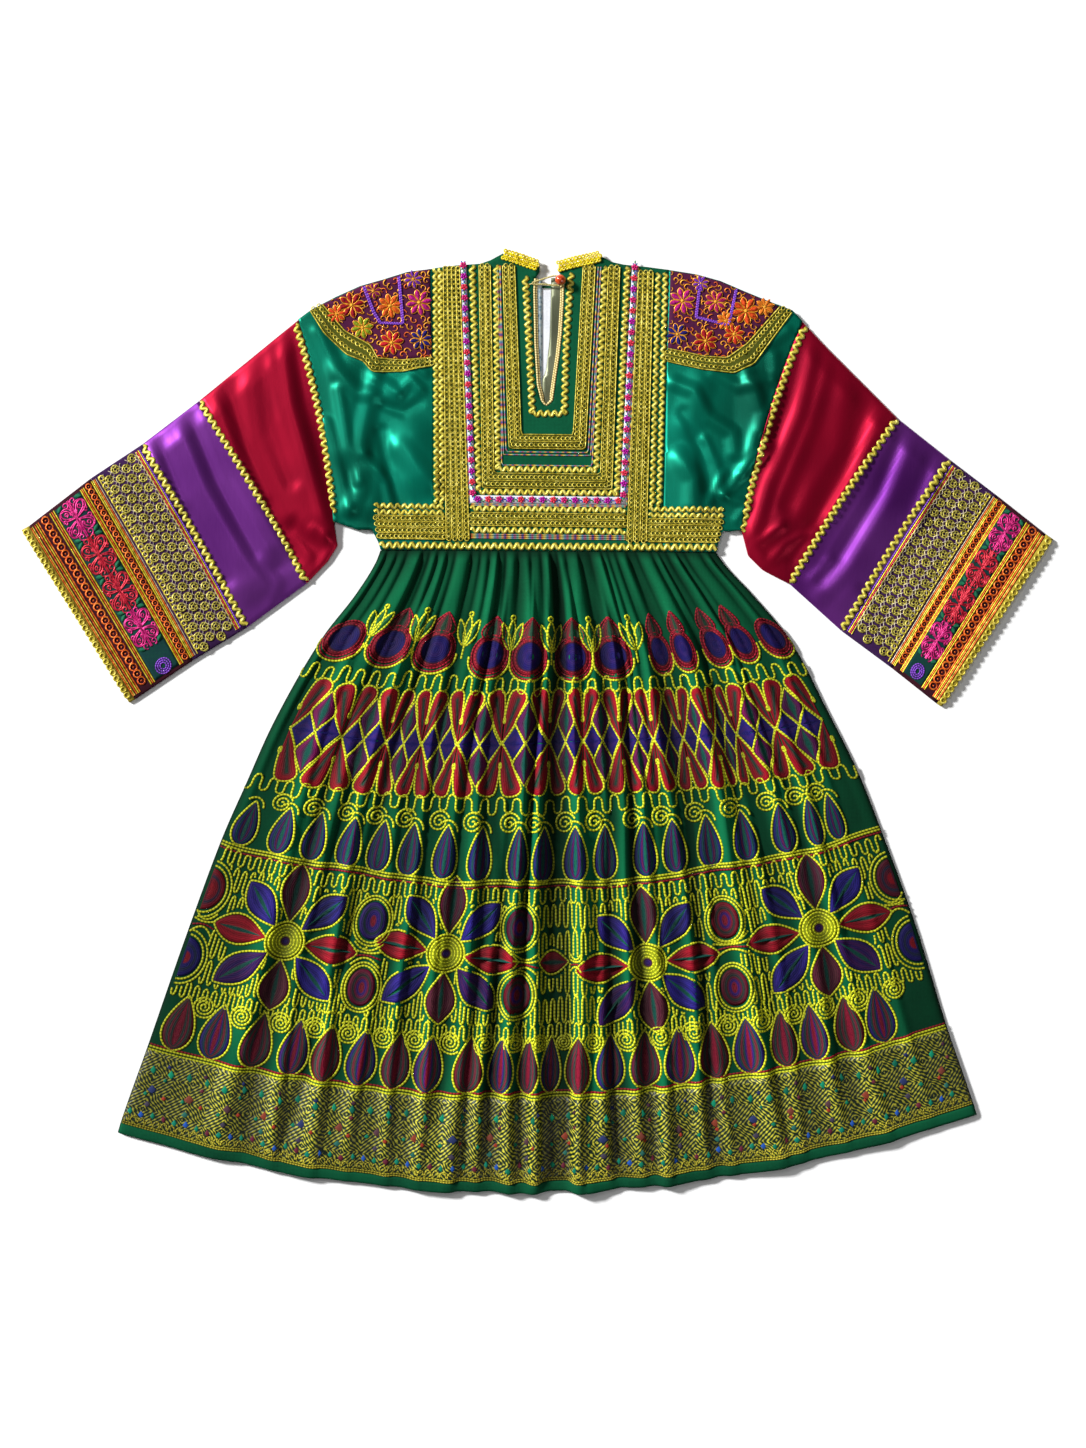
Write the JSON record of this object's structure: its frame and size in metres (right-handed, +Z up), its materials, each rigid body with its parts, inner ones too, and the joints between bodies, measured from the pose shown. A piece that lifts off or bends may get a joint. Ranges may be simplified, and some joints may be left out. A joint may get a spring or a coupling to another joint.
{
  "type": "long-sleeved embroidered dress laid flat",
  "caption": "Long-sleeved festive dress laid flat: braided bodice with a neck slit, satin sleeves with lace and embroidered cuffs, and a gathered, embroidered skirt.",
  "frame": {"origin": "centre of the laid-out dress on the surface it lies on, under the middle of its bounding box", "axes": "+X towards the right sleeve as the picture shows it, +Y towards the neck, +Z up out of the surface"},
  "size_m": [1.2366, 1.1309, 0.02],
  "materials": {
    "cotton_green": "matte",
    "hem_brocade": "matte",
    "binding_green": "matte",
    "satin_teal": "satin",
    "satin_red": "satin",
    "satin_violet": "satin",
    "gold_braid": "satin",
    "rickrack": "satin",
    "flower_ribbon": "satin",
    "patch_embroidery": "matte",
    "gold_lace": "matte",
    "cuff_embroidery": "matte",
    "cuff_edging": "matte",
    "white_lining": "matte",
    "printed_facing": "matte",
    "satin_facing": "satin",
    "piping": "satin",
    "yellow_beads": "gloss",
    "red_bead": "gloss",
    "loop_cord": "matte"
  },
  "bodies": {
    "root": {"skirt_back": "cotton_green", "skirt_front": "cotton_green", "hem_band": "hem_brocade", "hem_binding": "binding_green", "bodice_back": "cotton_green", "bodice_front": "cotton_green", "side_panel_left": "satin_teal", "side_panel_right": "satin_teal", "braid_wide_left": "gold_braid", "braid_wide_right": "gold_braid", "rickrack_pair_left": "rickrack", "rickrack_pair_right": "rickrack", "waist_pair_left": "rickrack", "waist_pair_right": "rickrack", "waist_braid_left": "gold_braid", "waist_braid_right": "gold_braid", "waist_braid_centre": "gold_braid", "waist_rickrack_upper": "rickrack", "waist_rickrack_lower": "rickrack", "flower_ribbon": "flower_ribbon", "rickrack_outer": "rickrack", "braid_outer": "gold_braid", "rickrack_inner": "rickrack", "braid_inner": "gold_braid", "slit_rickrack": "rickrack", "waist_rickrack": "rickrack", "shoulder_patch_left": "patch_embroidery", "patch_braid_left": "gold_braid", "collar_beads_left": "yellow_beads", "shoulder_patch_right": "patch_embroidery", "patch_braid_right": "gold_braid", "collar_beads_right": "yellow_beads", "back_lining": "white_lining", "slit_facing_left": "printed_facing", "slit_facing_right": "satin_facing", "slit_piping": "piping", "button_bead": "red_bead", "button_loop": "loop_cord", "sleeve_red_left": "satin_red", "sleeve_violet_left": "satin_violet", "sleeve_lace_left": "gold_lace", "sleeve_cuff_left": "cuff_embroidery", "sleeve_edging_left": "cuff_edging", "rickrack_armhole_left": "rickrack", "rickrack_violet_left": "rickrack", "rickrack_lace_left": "rickrack", "sleeve_red_right": "satin_red", "sleeve_violet_right": "satin_violet", "sleeve_lace_right": "gold_lace", "sleeve_cuff_right": "cuff_embroidery", "sleeve_edging_right": "cuff_edging", "rickrack_armhole_right": "rickrack", "rickrack_violet_right": "rickrack", "rickrack_lace_right": "rickrack"}
  },
  "joints": []
}
